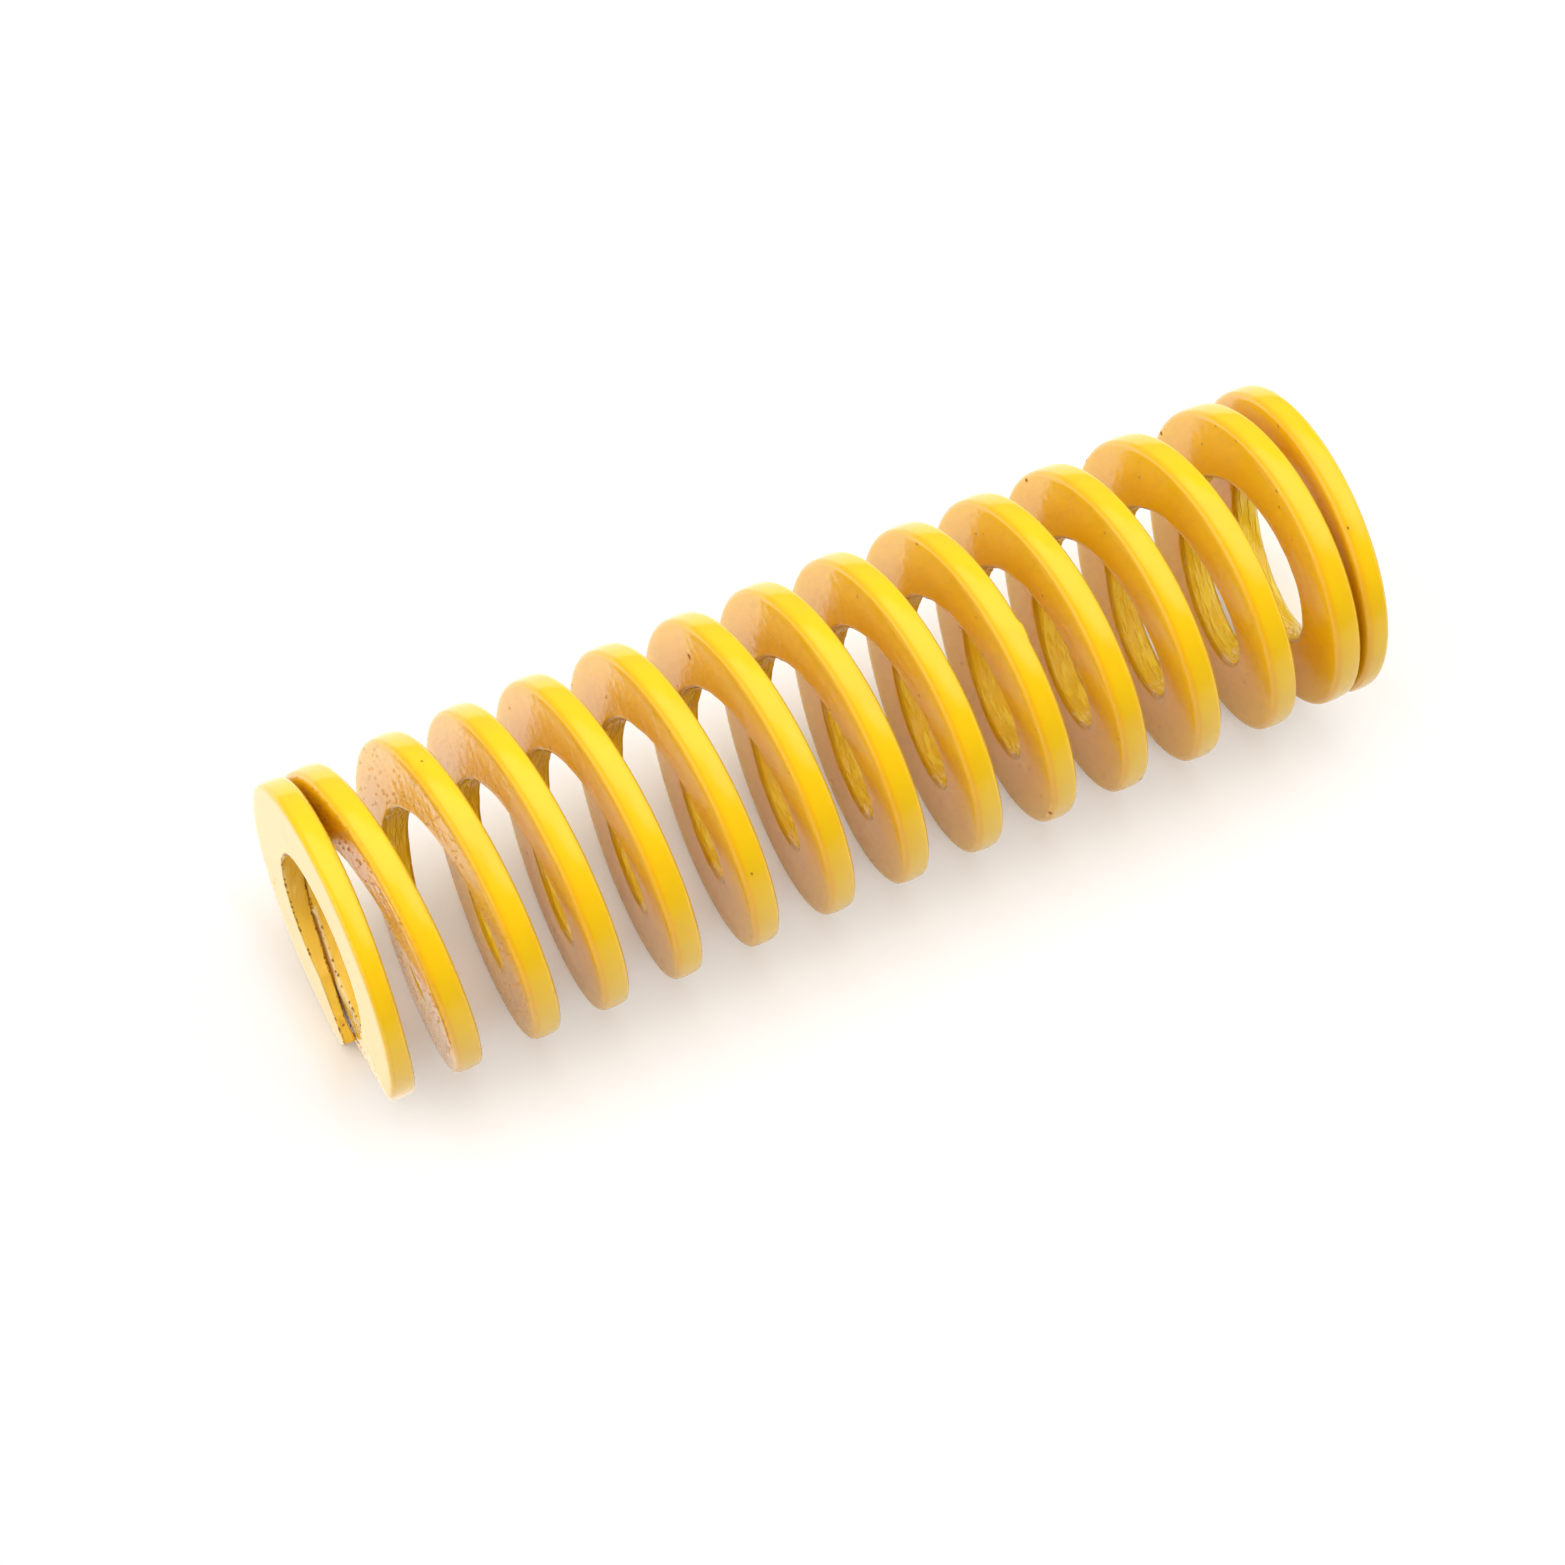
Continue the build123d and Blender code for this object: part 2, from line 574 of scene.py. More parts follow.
    def gloss(self, n: Nodes, at: WirePlace, pits: Socket) -> Number:
        """The paint's roughness, duller inside the coil and in the pits."""
        uneven = n.product(at.cloud, self.cloud_roughness)
        dull = n.total(n.product(at.inner, self.inner_roughness), n.product(pits, self.pit_roughness))
        return n.total(uneven, dull, self.roughness)

    def relief(self, n: Nodes, at: WirePlace, wrinkle: Socket, specks: Socket) -> Socket:
        """The paint's fine relief as a bent normal.

        Args:
            n: The tree's builder.
            at: The place on the wire.
            wrinkle: 1 on a wrinkle of the inner wall.
            specks: 1 in a speck.

        Returns:
            The normal.
        """
        peel = n.noise(at.wire, *self.peel_noise)
        strength = n.between(at.side, *self.pebble_range)
        pebble = n.product(n.noise(at.grain, *self.pebble_noise), strength)
        unground = n.rest(n.product(at.ground, self.ground_smoothness))
        lumps = n.total(n.product(at.lumpy, self.lump_peel), self.side_peel)
        depth = n.total(n.product(at.outer, self.outer_peel), n.product(at.side, unground, lumps))
        height = n.total(
            n.product(n.total(peel, pebble), depth),
            n.product(wrinkle, self.wrinkle_height),
            n.product(specks, -self.pit_depth),
        )
        return n.add("ShaderNodeBump", {"Strength": 1.0, "Distance": MM, "Height": height}).outputs[0]


@dataclass(frozen=True)
class TableSpot:
    """What the table's finish reads at a point, as shares from 0 to 1."""

    where: Socket
    camera: Socket
    mirrored: Socket
    seen: Socket
    away: Socket
    behind: Socket


@dataclass(frozen=True)
class PaleTable:
    """A smooth white table top, clear from below, with painted light: a glow of its own, a painted shadow by
    the coil and a painted reflection behind it.
    """

    colour: Triple = (0.66, 0.66, 0.66)
    shown_colour: Triple = (0.96, 0.975, 0.985)
    # Painted shadow: the warm, darker colour of the table near the coil.
    shaded_colour: Triple = (0.95, 0.875, 0.765)
    shade_ends_at: float = 1 / 3
    roughness: float = 0.6
    shine: float = 0.2
    grain_per_metre: float = 900.0
    grain_strength: float = 0.05
    grain_height: float = 0.01 * MM
    # Painted shadow: how much glow the table gets by the coil and in the open.
    light_by_coil: float = 0.24
    light_in_open: float = 0.90
    clear_in_front: float = 0.25
    front: Triple = (0.522, -0.853, 0.0)
    open_aside: Pair = (5 * MM, 30 * MM)
    open_in_front: Pair = (1.5 * MM, 5.5 * MM)
    open_beyond: Pair = (64.5 * MM, 72 * MM)
    open_before: Pair = (0.0, -11 * MM)
    # Painted reflection: the table as the paint mirrors it, darker far off and brighter behind the coil and
    # its top end.
    mirrored_from: float = 10 * MM
    mirrored_to: float = 78 * MM
    far_level: float = 0.05
    mirrored_tint: Triple = (1.0, 0.92, 0.87)
    mirrored_light: float = 0.16
    mirrored_behind: float = 0.70
    behind_coil: Pair = (-11 * MM, -15.5 * MM)
    behind_end: Pair = (58 * MM, 64 * MM)
    behind_level: float = 1.6

    def material(self) -> bpy.types.Material:
        """Build the table's finish as a material.

        Returns:
            The material.
        """
        made, n = new_material("pale_table")
        geometry = n.add("ShaderNodeNewGeometry")
        spot = self.spot(n, geometry.outputs["Position"])
        # Painted shadow: the glow's share is small by the coil and large in the open; in the paint's
        # reflections it is a painted reflection, strongest behind the coil.
        in_view = n.between(spot.away, self.light_by_coil, self.light_in_open)
        in_mirror = n.between(spot.behind, self.mirrored_light, self.mirrored_behind)
        share = n.total(n.product(spot.camera, in_view), n.product(spot.mirrored, in_mirror))
        lit = n.add("ShaderNodeMixShader", {0: share, 1: self.top(n, spot), 2: self.glow(n, spot)})
        clear = n.add("ShaderNodeBsdfTransparent")
        sides = {0: geometry.outputs["Backfacing"], 1: lit.outputs[0], 2: clear.outputs[0]}
        mixed = n.add("ShaderNodeMixShader", sides)
        n.add("ShaderNodeOutputMaterial", {"Surface": mixed.outputs[0]})
        return made

    def spot(self, n: Nodes, where: Socket) -> TableSpot:
        """What kind of place on the table a point is, and how it is being looked at."""
        ray = n.add("ShaderNodeLightPath")
        camera, mirrored = ray.outputs["Is Camera Ray"], ray.outputs["Is Glossy Ray"]
        across, along = n.dot(where, self.front), n.dot(where, COIL_AXIS)
        # Painted reflection: the table as the paint mirrors it fades dark far in front of the coil.
        near = n.step(across, self.mirrored_to, self.mirrored_from)
        fade = n.between(near, self.far_level, 1.0)
        return TableSpot(
            where=where,
            camera=camera,
            mirrored=mirrored,
            seen=n.most(camera, n.product(mirrored, fade)),
            away=self.away_from_coil(n, across, along),
            behind=n.most(n.step(across, *self.behind_coil), n.step(along, *self.behind_end)),
        )

    def top(self, n: Nodes, spot: TableSpot) -> Socket:
        """The table's own surface, black where it is mirrored but not seen, so its reflection is painted
        darker far in front of the coil; its colour holds a painted shadow near the coil.

        Args:
            n: The tree's builder.
            spot: The place on the table.

        Returns:
            The shader.
        """
        unseen = n.blend(spot.mirrored, self.colour, BLACK)
        # Painted shadow: the shaded colour near the coil, the shown colour in the open.
        in_open = n.math("MINIMUM", n.product(spot.away, 1 / self.shade_ends_at), 1.0)
        colour = n.blend(spot.seen, unseen, n.blend(in_open, self.shaded_colour, self.shown_colour))
        height = n.noise(spot.where, self.grain_per_metre)
        grain = {"Strength": self.grain_strength, "Distance": self.grain_height, "Height": height}
        bump = n.add("ShaderNodeBump", grain)
        surface = n.add(
            "ShaderNodeBsdfPrincipled",
            {
                "Base Color": colour,
                "Roughness": self.roughness,
                "Normal": bump.outputs[0],
                "Specular IOR Level": self.shine,
            },
        )
        return surface.outputs[0]

    def glow(self, n: Nodes, spot: TableSpot) -> Socket:
        """Painted light: the table's own glow, warmer and stronger as a painted reflection where it is
        mirrored behind the coil.
        """
        warm = n.product(spot.behind, spot.mirrored)
        strength = n.product(spot.seen, n.between(warm, 1.0, self.behind_level))
        tint = n.blend(warm, WHITE, self.mirrored_tint)
        return n.add("ShaderNodeEmission", {"Color": tint, "Strength": strength}).outputs[0]

    def away_from_coil(self, n: Nodes, across: Socket, along: Socket) -> Number:
        """How far a place in front of the coil's axis and along it is clear of the coil, 0 to 1."""
        aside = n.step(n.math("ABSOLUTE", across), *self.open_aside)
        in_front = n.product(n.step(across, *self.open_in_front), self.clear_in_front)
        past_ends = n.most(n.step(along, *self.open_beyond), n.step(along, *self.open_before))
        return n.most(aside, in_front, past_ends)


# -------------------------------------------------------------------- objects


def new_object(name: str, data: bpy.types.ID) -> bpy.types.Object:
    """Make an object from its data and add it to the scene."""
    made = bpy.data.objects.new(name, data)
    bpy.context.scene.collection.objects.link(made)
    return made


def facing(place: Vector, right: Vector, up: Vector, back: Vector) -> Matrix:
    """The placement of an object at a place, with its three axes turned as given."""
    return Matrix.Translation(place) @ Matrix((right, up, back)).transposed().to_4x4()


# --------------------------------------------------------------------- spring


@dataclass(frozen=True)
class OutlinePoint:
    """One point of the wire's outline, with how far it belongs to each side."""

    out: float
    height: float
    before: Side
    after: Side
    share: float

    def part(self, side: Side) -> float:
        """How far the point belongs to a side, from 0 to 1."""
        return (1 - self.share) * (self.before is side) + self.share * (self.after is side)


@dataclass
class WireSection:
    """The wire's rectangular section with its rounded corners, in millimetres."""

    inner_radius: float = 5.5
    outer_radius: float = 9.85
    thickness: float = 1.75
    corner_radius: float = 0.40
    ground_corner: float = 0.13
    ground_rim: float = 0.30
    ground_fade: float = 0.05
    smallest_corner: float = 0.02
    corner_limit: float = 0.49
    corner_steps: int = 6
    wide_steps: int = 8
    narrow_steps: int = 4

    @property
    def middle_radius(self) -> float:
        """The radius of the wire's middle line."""
        return (self.inner_radius + self.outer_radius) / 2

    def outline(
        self, span: float, thickness: float, inset: float, corners: Sequence[float]
    ) -> list[OutlinePoint]:
        """One closed outline, from the lower outer corner up the outer wall.

        Args:
            span: The width from the inner wall to the outer wall.
            thickness: The height from the lower face to the upper face.
            inset: How far the outline is drawn in all round.
            corners: Radii of the lower outer, upper outer, upper inner and lower inner corners.

        Returns:
            The outline's points, the same number for any size.
        """
        most = self.corner_limit * (min(thickness, span) - 2 * inset)
        radii = [max(self.smallest_corner, min(r - inset, most)) for r in corners]
        left, right, low, high = inset, span - inset, inset, thickness - inset
        centres = [
            (right - radii[0], low + radii[0]),
            (right - radii[1], high - radii[1]),
            (left + radii[2], high - radii[2]),
            (left + radii[3], low + radii[3]),
        ]
        sides = list(Side)
        arcs = []
        for index, (x, z) in enumerate(centres):
            arc = []
            for step in range(self.corner_steps + 1):
                share = step / self.corner_steps
                angle = math.radians(90 * (index - 1 + share))
                place = (x + radii[index] * math.cos(angle), z + radii[index] * math.sin(angle))
                arc.append(OutlinePoint(*place, sides[index - 1], sides[index], share))
            arcs.append(arc)
        points: list[OutlinePoint] = []
        for index, arc in enumerate(arcs):
            points += arc
            flats = self.narrow_steps if index % 2 == 0 else self.wide_steps
            here, goal = arc[-1], arcs[(index + 1) % len(arcs)][0]
            for step in range(1, flats):
                share = step / flats
                out = here.out + (goal.out - here.out) * share
                height = here.height + (goal.height - here.height) * share
                points.append(OutlinePoint(out, height, sides[index], sides[index], 1.0))
        return points


@dataclass
class CoilPath:
    """How the wire winds down from its top tip, in millimetres and turns."""

    turns: float = 15.0
    free_length: float = 65.0
    start_angle: float = -90.0
    thickness: float = 1.75
    top_end: tuple[Pair, ...] = (
        (0.00, 0.50), (0.13, 0.42), (0.18, 0.41), (0.25, 0.52), (0.40, 0.76), (0.56, 0.94), (0.70, 0.86),
        (0.85, 0.76), (0.95, 0.90), (1.06, 1.34), (1.20, 1.59), (1.33, 1.80), (1.55, 2.22), (1.75, 2.74),
    )
    bottom_end: tuple[Pair, ...] = (
        (1.25, 1.26), (1.05, 0.98), (0.90, 0.70), (0.75, 0.30), (0.63, 0.02), (0.50, -0.08), (0.25, -0.14),
        (0.00, -0.20),
    )
    uneven_coiling: tuple[float, ...] = (
        0.17, -0.32, -0.54, -0.45, -0.34, -0.34, -0.33, -0.25, -0.30, -0.24, 0.03,
    )
    marks: list[Pair] = field(default_factory=list)

    def __post_init__(self) -> None:
        """Work out the turns and depths that the curve goes through."""
        marks = [(turn, share * self.thickness) for turn, share in self.top_end]
        bottom = [
            (self.turns - back, self.free_length - share * self.thickness) for back, share in self.bottom_end
        ]
        (first_turn, first_depth), (last_turn, last_depth) = marks[-1], bottom[0]
        pitch = (last_depth - first_depth) / (last_turn - first_turn)
        for step in range(1, math.ceil(last_turn - first_turn)):
            offset = self.uneven_coiling[step - 1] if step <= len(self.uneven_coiling) else 0.0
            marks.append((first_turn + step, first_depth + step * pitch + offset))
        self.marks = marks + bottom

    def slope(self, index: int) -> float:
        """The curve's slope at one mark, chosen so that it never overshoots.

        Args:
            index: The mark's place in the list.

        Returns:
            The slope in millimetres a turn.
        """
        if index in (0, len(self.marks) - 1):
            return 0.0
        (t0, d0), (t1, d1), (t2, d2) = self.marks[index - 1 : index + 2]
        before, after = (d1 - d0) / (t1 - t0), (d2 - d1) / (t2 - t1)
        if before * after <= 0:
            return 0.0
        w0, w1 = 2 * (t2 - t1) + (t1 - t0), (t2 - t1) + 2 * (t1 - t0)
        return (w0 + w1) / (w0 / before + w1 / after)

    def lower_edge(self, turn: float) -> float:
        """Height of the wire's lower face at a turn, with nothing ground away.

        Args:
            turn: Turns from the top tip.

        Returns:
            The height over the bottom face.
        """
        turn = min(max(turn, 0.0), self.turns)
        index = max(i for i, (t, _) in enumerate(self.marks[:-1]) if t <= turn + TINY)
        (t0, d0), (t1, d1) = self.marks[index : index + 2]
        span = t1 - t0
        u = (turn - t0) / span
        depth = d0 + (3 - 2 * u) * u**2 * (d1 - d0)
        depth += self.slope(index) * span * u * (1 - u) ** 2
        depth += self.slope(index + 1) * span * (u - 1) * u**2
        return self.free_length - depth

    def direction(self, turn: float) -> Pair:
        """The way out from the axis at a turn, seen from above."""
        angle = math.radians(self.start_angle - 360 * turn)
        return math.cos(angle), math.sin(angle)

    def turn_at(self, x: float, y: float) -> float:
        """The turn, from 0 to 1, that lies in the direction of a point."""
        return ((self.start_angle - math.degrees(math.atan2(y, x))) / 360) % 1.0


@dataclass(frozen=True)
class PaintRelief:
    """How unevenly the thick enamel lies on each side of the wire, in millimetres."""

    wire_thickness: float = 1.75
    outer_crown: float = 0.16
    outer_wave: float = 0.010
    side_wave: float = 0.016
    inner_sag: float = 0.13
    cut_burr: float = 0.09
    nub_place: Triple = (2.06, 469.2, 0.12)
    nub_height: float = 0.24
    nub_radius: float = 0.26
    wave_scale: Triple = (0.5, 0.28, 0.7)
    burr_scale: Triple = (1.6, 1.9, 2.5)
    bend_layer: Triple = (0.22, 0.5, 7.0)
    ridge_layer: Triple = (0.30, 1.3, 3.0)
    lump_layer: Triple = (0.45, 1.2, 11.0)
    ridge_bend: float = 1.5
    ridge_sharpness: float = 4.0
    ridge_share: float = 0.6
    lump_share: float = 0.8
    crown_within: float = 0.5

    @staticmethod
    def uneven(place: Vector, scale: Triple) -> float:
        """Smooth noise from -1 to 1 at a place in the wire, each measure scaled."""
        return noise.noise(Vector([measure * by for measure, by in zip(place, scale)]))

    @staticmethod
    def on_wall(along: float, up: float, layer: Triple, shift: float = 0.0) -> float:
        """Smooth noise from -1 to 1 on a wall, by a layer's two scales and its own depth."""
        along_scale, up_scale, depth = layer
        return noise.noise(Vector((along * along_scale, up * up_scale + shift, depth)))

    def rise(self, place: Vector, outer: float, inner: float, ground: float, cut: float) -> float:
        """How far the paint stands out at one point, never beyond the outer wall.

        Args:
            place: The place in the wire: across, along and up.
            outer: How far this is the outer wall.
            inner: How far this is the inner wall.
            ground: How far this is a ground face.
            cut: How far this is the sheared tip.

        Returns:
            The height over the plain surface.
        """
        _, along, up = place
        wave = self.uneven(place, self.wave_scale)
        bend = self.on_wall(along, up, self.bend_layer)
        fold = self.on_wall(along, up, self.ridge_layer, bend * self.ridge_bend)
        ridge = 1.0 - min(1.0, abs(fold) * self.ridge_sharpness)
        lump = max(0.0, self.on_wall(along, up, self.lump_layer))
        side = max(0.0, 1.0 - outer - inner) * (1.0 - ground)
        crown = self.outer_crown * min(self.crown_within, abs(up - self.wire_thickness / 2)) ** 2
        height = side * self.side_wave * wave - outer * (crown + self.outer_wave * (0.5 + 0.5 * wave))
        height += inner * self.inner_sag * (self.ridge_share * ridge + self.lump_share * lump)
        burr = self.uneven(place, self.burr_scale)
        from_nub = (place - Vector(self.nub_place)).length / self.nub_radius
        nub = self.nub_height * math.exp(-(from_nub**2))
        return height + cut * inner * self.cut_burr * burr + nub


@dataclass(frozen=True)
class Slice:
    """Where one outline of the wire stands. Points are seen from above, in millimetres."""

    inner: Pair
    outer: Pair
    turn: float
    cut: float = 0.0
    lift: float = 0.0
    inset: float = 0.0
    shift: Pair = (0.0, 0.0)


@dataclass
class DieSpring:
    """The one piece: a coil of rectangular wire with closed and ground ends."""

    section: WireSection = field(default_factory=WireSection)
    path: CoilPath = field(default_factory=CoilPath)
    relief: PaintRelief = field(default_factory=PaintRelief)
    tip_slant: tuple[Pair, Pair] = ((-0.53, -0.16), (-0.63, -0.60))
    tip_notch: tuple[Pair, ...] = (
        (0.0, -0.03), (0.10, 0.02), (0.22, 0.13), (0.35, 0.14), (0.50, 0.10), (0.80, 0.03), (1.0, 0.0),
    )
    cut_left: float = 0.5
    cut_fade_steps: int = 8
    pressed_until: Pair = (0.45, 0.62)
    pressed_again_after: float = 0.97
    paint_pool: tuple[Pair, ...] = (
        (1.12, 0.0), (1.14, 0.06), (1.16, 0.13), (1.18, 0.20), (1.20, 0.23), (1.29, 0.23), (1.31, 0.25),
        (1.42, 0.25), (1.55, 0.0),
    )
    pool_brim: tuple[Pair, ...] = ((1.292, 0.0), (1.308, 1.0))
    pool_slope: float = 0.55
    steps_per_turn: int = 116
    tip_steps: int = 26
    end_rounding: float = 0.10
    end_rings: int = 3
    flat_face_weight: int = 80

    def tip_slices(self) -> list[Slice]:
        """The outlines along the sheared tip, up to the first full section."""
        scale = self.section.outer_radius
        (bx, by), (ax, ay) = self.tip_slant
        first = self.path.turn_at(-math.sqrt(1 - ay**2), ay)
        last = self.path.turn_at(bx, by)
        shares, lifts = zip(*self.tip_notch)
        made = []
        for step in range(self.tip_steps):
            share = step / self.tip_steps
            inner = ((ax + (bx - ax) * share) * scale, (ay + (by - ay) * share) * scale)
            cx, cy = self.path.direction(first + (last - first) * share)
            outer = (cx * scale, cy * scale)
            turn = self.path.turn_at((inner[0] + outer[0]) / 2, (inner[1] + outer[1]) / 2)
            cut = 1.0 - (1.0 - self.cut_left) * share
            lift = float(np.interp(share, shares, lifts))
            made.append(Slice(inner, outer, turn, cut=cut, lift=lift))
        return made

    def coil_slices(self) -> list[Slice]:
        """The square outlines, from the end of the shear to the bottom tip."""
        first = self.path.turn_at(*self.tip_slant[0])
        count = math.ceil((self.path.turns - first) * self.steps_per_turn)
        made = []
        for step in range(count + 1):
            turn = first + (self.path.turns - first) * step / count
            cx, cy = self.path.direction(turn)
            inner, outer = self.section.inner_radius, self.section.outer_radius
            cut = max(0.0, self.cut_left - step / self.cut_fade_steps)
            made.append(Slice((cx * inner, cy * inner), (cx * outer, cy * outer), turn, cut=cut))
        return made

    def end_slices(self, last: Slice, inward: Pair) -> list[Slice]:
        """The small outlines that round off one end of the wire.

        Args:
            last: The outline at the end.
            inward: The way into the wire from its end face.

        Returns:
            The outlines from the end face inward, the last of them at full size.
        """
        made = []
        for step in range(self.end_rings, -1, -1):
            angle = math.radians(90 * step / self.end_rings)
            push = self.end_rounding * (1 - math.sin(angle))
            inset = self.end_rounding * (1 - math.cos(angle))
            made.append(replace(last, inset=inset, shift=(inward[0] * push, inward[1] * push)))
        return made

    def slices(self) -> list[Slice]:
        """All outlines in order, from the top tip's face to the bottom tip's face."""
        tip, coil = self.tip_slices(), self.coil_slices()
        top_end = self.end_slices(tip[0], (0.0, 1.0))
        bottom_end = self.end_slices(coil[-1], (1.0, 0.0))
        return top_end + tip[1:] + coil[:-1] + bottom_end[::-1]

    def pressed(self, turn: float) -> float:
        """How far the wire's first coil lies pressed on the next one at a turn, from 0 to 1."""
        return float(np.interp(turn, self.pressed_until, (1.0, 0.0))) if turn >= 0.0 else 0.0

    def ring(self, cut_at: Slice) -> tuple[list, list, list, list]:
        """One outline of the wire in space.

        Args:
            cut_at: Where it stands.

        Returns:
            The points; the place in the wire of each (across, along, up); its skin (outer, inner,
            ground); and how far it is the sheared tip.
        """
        s, path = self.section, self.path
        (ix, iy), (ox, oy) = cut_at.inner, cut_at.outer
        span = math.dist(cut_at.inner, cut_at.outer)
        ux, uy = (ox - ix) / span, (oy - iy) / span
        low = path.lower_edge(cut_at.turn)
        over = max(0.0, low + s.thickness - path.free_length)
        under = max(0.0, -low)
        thickness = s.thickness - over - under
        upper, lower = (max(s.ground_corner, s.corner_radius - lost) for lost in (over, under))
        ground_up, ground_down = (min(1.0, lost / s.ground_fade) for lost in (over, under))
        on_first = self.pressed(cut_at.turn)
        on_second = self.pressed(cut_at.turn - self.pressed_again_after)
        inner_upper = upper + (min(s.ground_corner, upper) - upper) * max(cut_at.cut, on_second)
        inner_lower = lower + (min(s.ground_corner, lower) - lower) * max(cut_at.cut, on_first)
        rims = (max(lower, s.ground_rim), max(upper, s.ground_rim))
        outline = s.outline(span, thickness, cut_at.inset, (*rims, inner_upper, inner_lower))
        pool = float(np.interp(cut_at.turn, *zip(*self.paint_pool)))
        brim = float(np.interp(cut_at.turn, *zip(*self.pool_brim)))
        points, places, skins, cuts = [], [], [], []
        for spot in outline:
            x, y = ix + ux * spot.out, iy + uy * spot.out
            turn = path.turn_at(x, y)
            turn += round(cut_at.turn - turn)
            edge = path.lower_edge(turn)
            floor = max(edge, 0.0)
            ceiling = min(edge + s.thickness, path.free_length)
            rising = spot.height / thickness < 0.5
            z = floor + spot.height if rising else ceiling - (thickness - spot.height)
            z += cut_at.lift * (1.0 - spot.height / thickness)
            z += pool * max(brim, min(1.0, spot.out / self.pool_slope)) * spot.height / thickness
            points.append((x + cut_at.shift[0], y + cut_at.shift[1], z))
            places.append((math.hypot(x, y) - s.middle_radius, turn * math.tau * s.middle_radius, z - edge))
            ground = spot.part(Side.UPPER) * ground_up + spot.part(Side.LOWER) * ground_down
            skins.append((spot.part(Side.OUTER), spot.part(Side.INNER), ground))
            cuts.append(cut_at.cut)
        return points, places, skins, cuts

    def mesh(self) -> bpy.types.Mesh:
        """Build the wire's skin from its outlines, with the paint's relief on it.

        Returns:
            The closed mesh, with the "wire" and "skin" attributes on its points.
        """
        rings = [self.ring(place) for place in self.slices()]
        size = len(rings[0][0])
        points, places, skins, cuts = ([p for ring in rings for p in ring[k]] for k in range(4))
        faces: list[tuple[int, ...]] = [tuple(reversed(range(size)))]
        for index in range(len(rings) - 1):
            a, b = index * size, (index + 1) * size
            for k in range(size):
                m = (k + 1) % size
                faces.append((a + k, a + m, b + m, b + k))
        last = (len(rings) - 1) * size
        faces.append(tuple(last + k for k in range(size)))
        mesh = bpy.data.meshes.new("spring_wire")
        mesh.from_pydata(points, [], faces)
        normals = np.empty(len(points) * 3, np.float32)
        mesh.vertex_normals.foreach_get("vector", normals)
        told = zip(places, skins, cuts)
        rise = [self.relief.rise(Vector(place), *skin, cut) for place, skin, cut in told]
        placed = np.array(points) + normals.reshape(-1, 3) * np.array(rise)[:, None]
        placed[:, 2] = placed[:, 2].clip(0.0, self.path.free_length)
        mesh.vertices.foreach_set("co", (placed * MM).ravel())
        mesh.update()
        for name, values in (("wire", places), ("skin", skins)):
            held = mesh.attributes.new(name, "FLOAT_VECTOR", "POINT")
            held.data.foreach_set("vector", np.array(values, np.float32).ravel())
        mesh.shade_smooth()
        return mesh

    def build(self, paint: YellowEnamel) -> bpy.types.Object:
        """Make the piece, dress it and seat it on its body.

        Args:
            paint: The finish it gets.

        Returns:
            The spring's object.
        """
        spring = new_object("spring_coil", self.mesh())
        spring.data.materials.append(paint.material())
        weighted = spring.modifiers.new("flat_faces", "WEIGHTED_NORMAL")
        weighted.mode = "FACE_AREA"
        weighted.weight = self.flat_face_weight
        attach(spring, "root")
        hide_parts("spring")
        return spring


# ---------------------------------------------------------------------- studio


@dataclass
class Tabletop:
    """The table that the spring lies on, tangent to its coil."""

    up: Triple = (0.853, 0.522, 0.0)
    coil_radius: float = 9.85 * MM
    gap: float = 0.02 * MM
    size: float = 1.6

    def build(self, finish: PaleTable) -> bpy.types.Object:
        """Make the table top.

        Args:
            finish: The table's finish.

        Returns:
            The table's object, marked as stage.
        """
        up = Vector(self.up).normalized()
        along = Vector(COIL_AXIS)
        side = up.cross(along).normalized()
        middle = Vector(COIL_MIDDLE) - up * (self.coil_radius + self.gap)
        half = self.size / 2
        ways = ((-1, -1), (-1, 1), (1, 1), (1, -1))
        corners = [tuple(middle + side * a * half + along * b * half) for a, b in ways]
        mesh = bpy.data.meshes.new("table_top")
        mesh.from_pydata(corners, [], [(0, 1, 2, 3)])
        if mesh.polygons[0].normal.dot(up) < 0:
            mesh.flip_normals()
        top = new_object("table_top", mesh)
        mesh.materials.append(finish.material())
        top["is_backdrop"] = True
        return top


@dataclass
class SoftBox:
    """One large studio lamp that points at the spring and isn't mirrored in its paint."""

    name: str
    toward: Triple
    size: Pair
    radiance: float
    colour: Triple = WHITE
    distance: float = 0.9

    def build(self) -> bpy.types.Object:
        """Make the lamp, aimed at the middle of the coil."""
        lamp = bpy.data.lights.new(self.name, "AREA")
        lamp.shape = "RECTANGLE"
        lamp.size, lamp.size_y = self.size
        lamp.energy = self.radiance * math.pi * self.size[0] * self.size[1]
        lamp.color = self.colour
        made = new_object(self.name, lamp)
        made.visible_glossy = False
        way = Vector(self.toward).normalized()
        right = Vector(COIL_AXIS).cross(way).normalized()
        up = way.cross(right).normalized()
        made.matrix_world = facing(Vector(COIL_MIDDLE) + way * self.distance, right, up, way)
        return made


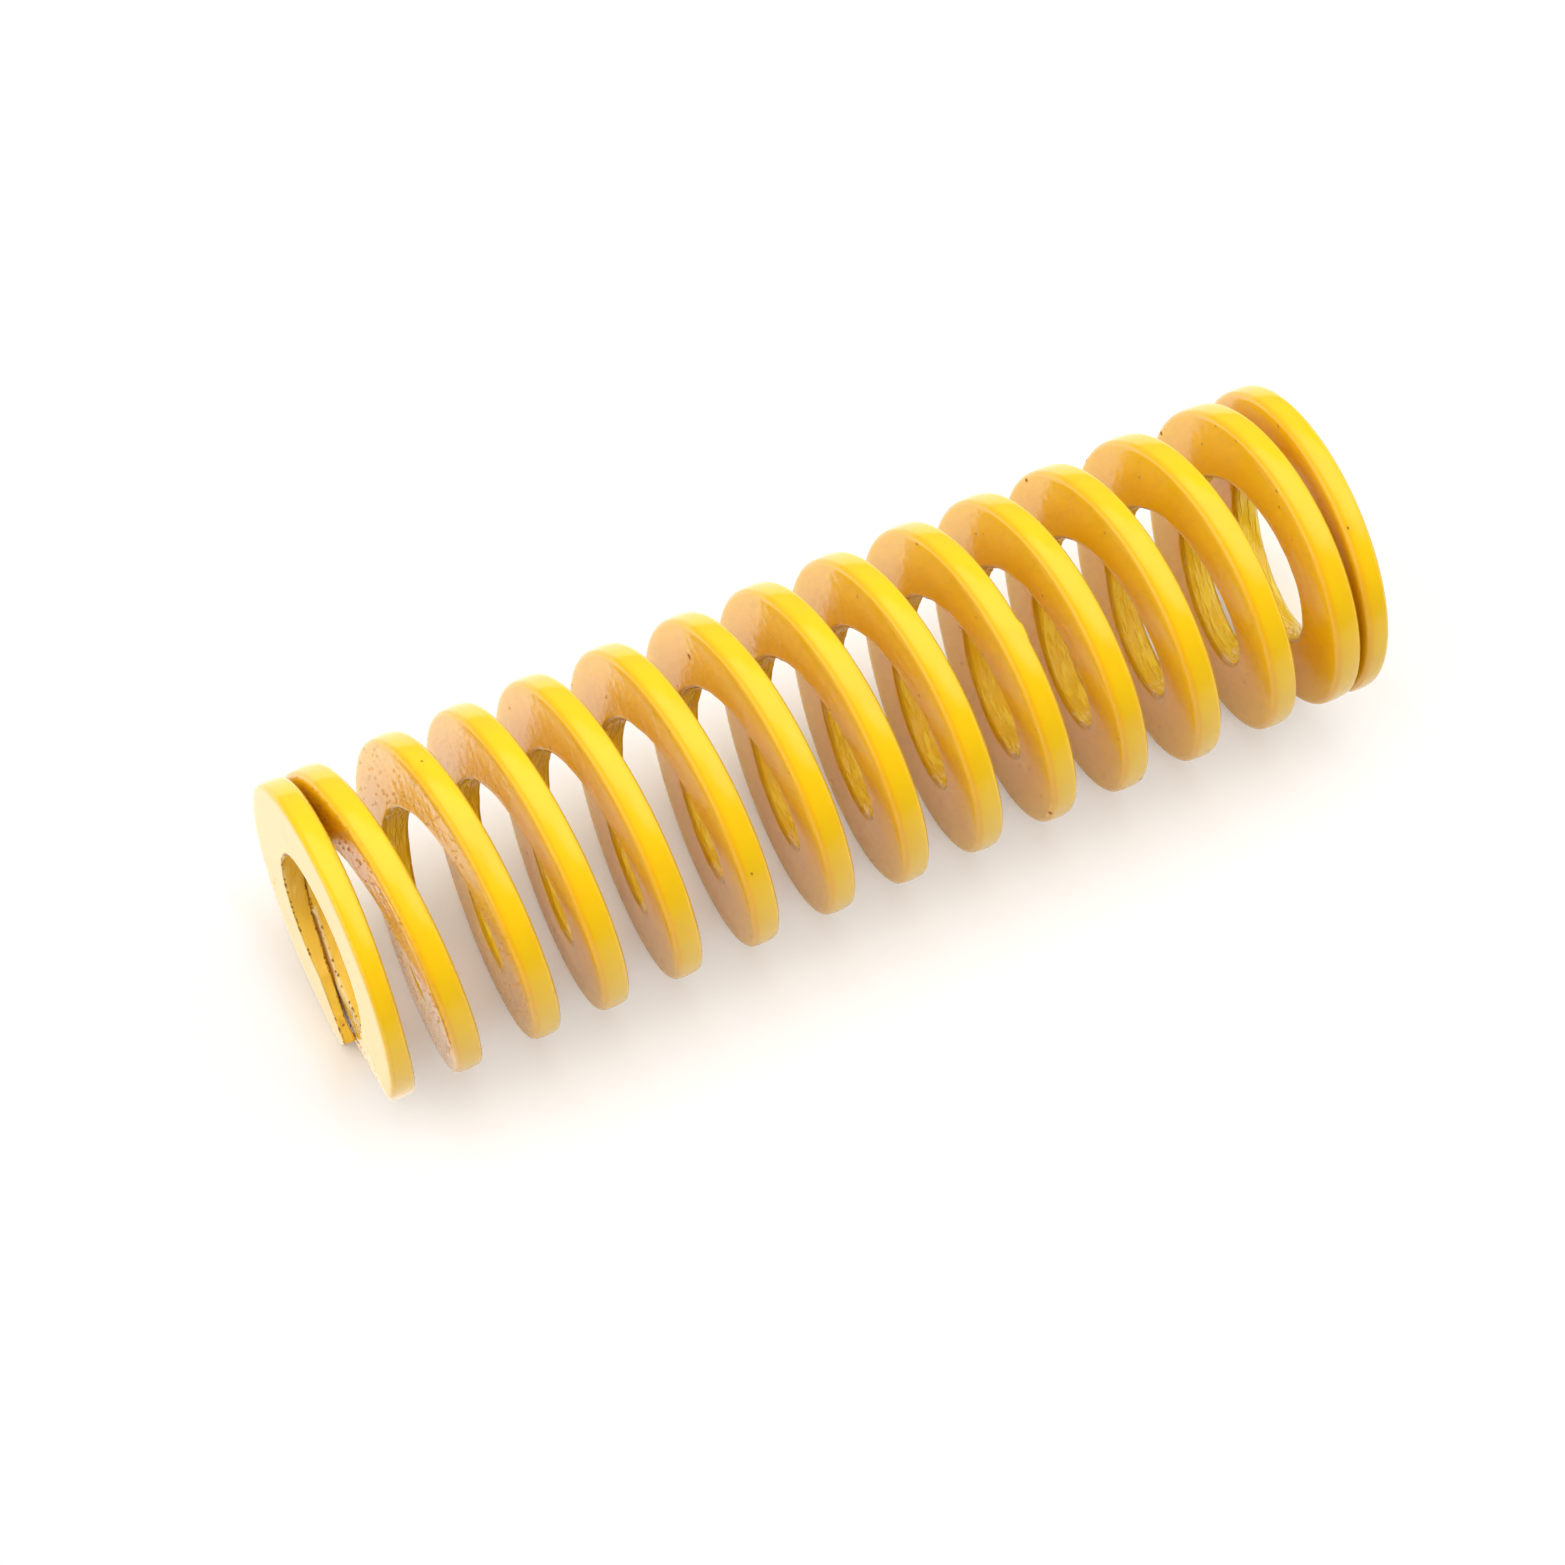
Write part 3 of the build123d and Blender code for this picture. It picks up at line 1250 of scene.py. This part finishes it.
@dataclass(frozen=True)
class Glow:
    """A soft bright patch of the room, as the paint mirrors it."""

    toward: Triple
    radiance: float
    full_within: float
    gone_beyond: float
    mirrored_only: bool = False

    def level(self, n: Nodes, way: Socket) -> Socket:
        """The patch's light in one direction, fading out from its middle."""
        middle = tuple(Vector(self.toward).normalized())
        near, far = (math.cos(math.radians(a)) for a in (self.full_within, self.gone_beyond))
        level = n.product(n.step(n.dot(way, middle), far, near), self.radiance)
        if self.mirrored_only:
            level = n.product(level, n.add("ShaderNodeLightPath").outputs["Is Glossy Ray"])
        return level


@dataclass
class Surroundings:
    """The white room round the table, with its softly lit panels."""

    dim: float = 0.05
    shown: float = 1.0
    glows: tuple[Glow, ...] = (
        Glow((0.858, 0.121, -0.50), 1.5, 8, 28),
        Glow((0.742, 0.623, -0.25), 1.5, 10, 32),
        Glow((0.530, 0.848, 0.00), 1.5, 8, 28),
        Glow((0.0, 0.0, -1.0), 1.1, 32, 60),
        Glow((0.0, 0.0, 1.0), 0.5, 32, 60),
        Glow((0.0, 0.0, 1.0), 2.0, 20, 48, mirrored_only=True),
        Glow((-0.087, 0.996, 0.0), 0.45, 18, 53),
    )

    def build(self) -> None:
        """Set the world: white where it is seen, and softly lit elsewhere."""
        world = bpy.data.worlds.new("studio")
        world.use_nodes = True
        bpy.context.scene.world = world
        n = Nodes(world.node_tree)
        way = n.add("ShaderNodeTexCoord").outputs["Generated"]
        lit = n.most(self.dim, *(glow.level(n, way) for glow in self.glows))
        seen = n.add("ShaderNodeLightPath").outputs["Is Camera Ray"]
        level = n.total(lit, n.product(seen, n.math("SUBTRACT", self.shown, lit)))
        back = n.add("ShaderNodeBackground", {"Color": (*WHITE, 1.0), "Strength": level})
        n.add("ShaderNodeOutputWorld", {"Surface": back.outputs[0]})


@dataclass
class StudioCamera:
    """The camera above the table, looking down along the coil from its top end."""

    place: Triple = (0.26908, 0.0, 0.10654)
    right: Triple = (0.2359, -0.3836, -0.8929)
    up: Triple = (0.0919, 0.9235, -0.3724)
    lens_mm: float = 109.08
    sensor_mm: float = 36.0
    clip: Pair = (0.01, 10.0)

    def build(self) -> bpy.types.Object:
        """Make the camera and set it as the scene's."""
        data = bpy.data.cameras.new("studio_camera")
        data.lens = self.lens_mm
        data.sensor_width = self.sensor_mm
        data.sensor_fit = "HORIZONTAL"
        data.clip_start, data.clip_end = self.clip
        made = new_object("studio_camera", data)
        right = Vector(self.right).normalized()
        back = right.cross(Vector(self.up)).normalized()
        up = back.cross(right).normalized()
        made.matrix_world = facing(Vector(self.place), right, up, back)
        bpy.context.scene.camera = made
        return made


@dataclass
class SizeNote:
    """The box of the solid model."""

    solid: list[list[float]] = field(default_factory=list)

    def start(self) -> None:
        """Keep the solid model's box."""
        self.solid = [list(corner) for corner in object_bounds()]

    def write(self) -> None:
        """Do nothing: the box is not written."""


def main() -> None:
    """Build the spring, its table, its light and the camera."""
    logging.basicConfig(level=logging.INFO, format="%(name)s: %(message)s")
    sizes = SizeNote()
    sizes.start()
    bpy.context.scene.view_settings.view_transform = "Standard"
    spring = DieSpring().build(YellowEnamel())
    LOG.info("coil: %d faces", len(spring.data.polygons))
    Tabletop().build(PaleTable())
    LOG.info("table top in place")
    lamps = [
        SoftBox("overhead", (0.90, 0.42, -0.1), (0.7, 1.2), 1.16, (1.0, 0.975, 0.96)),
        SoftBox("front_fill", (0.995, 0.087, -0.1), (0.7, 1.2), 0.86, (1.0, 0.92, 0.86)),
        SoftBox("rear_top", (0.55, 0.48, 0.68), (0.7, 0.7), 2.4),
    ]
    for lamp in lamps:
        lamp.build()
        LOG.info("lamp %s", lamp.name)
    Surroundings().build()
    StudioCamera().build()
    sizes.write()


if __name__ == "__main__":
    main()
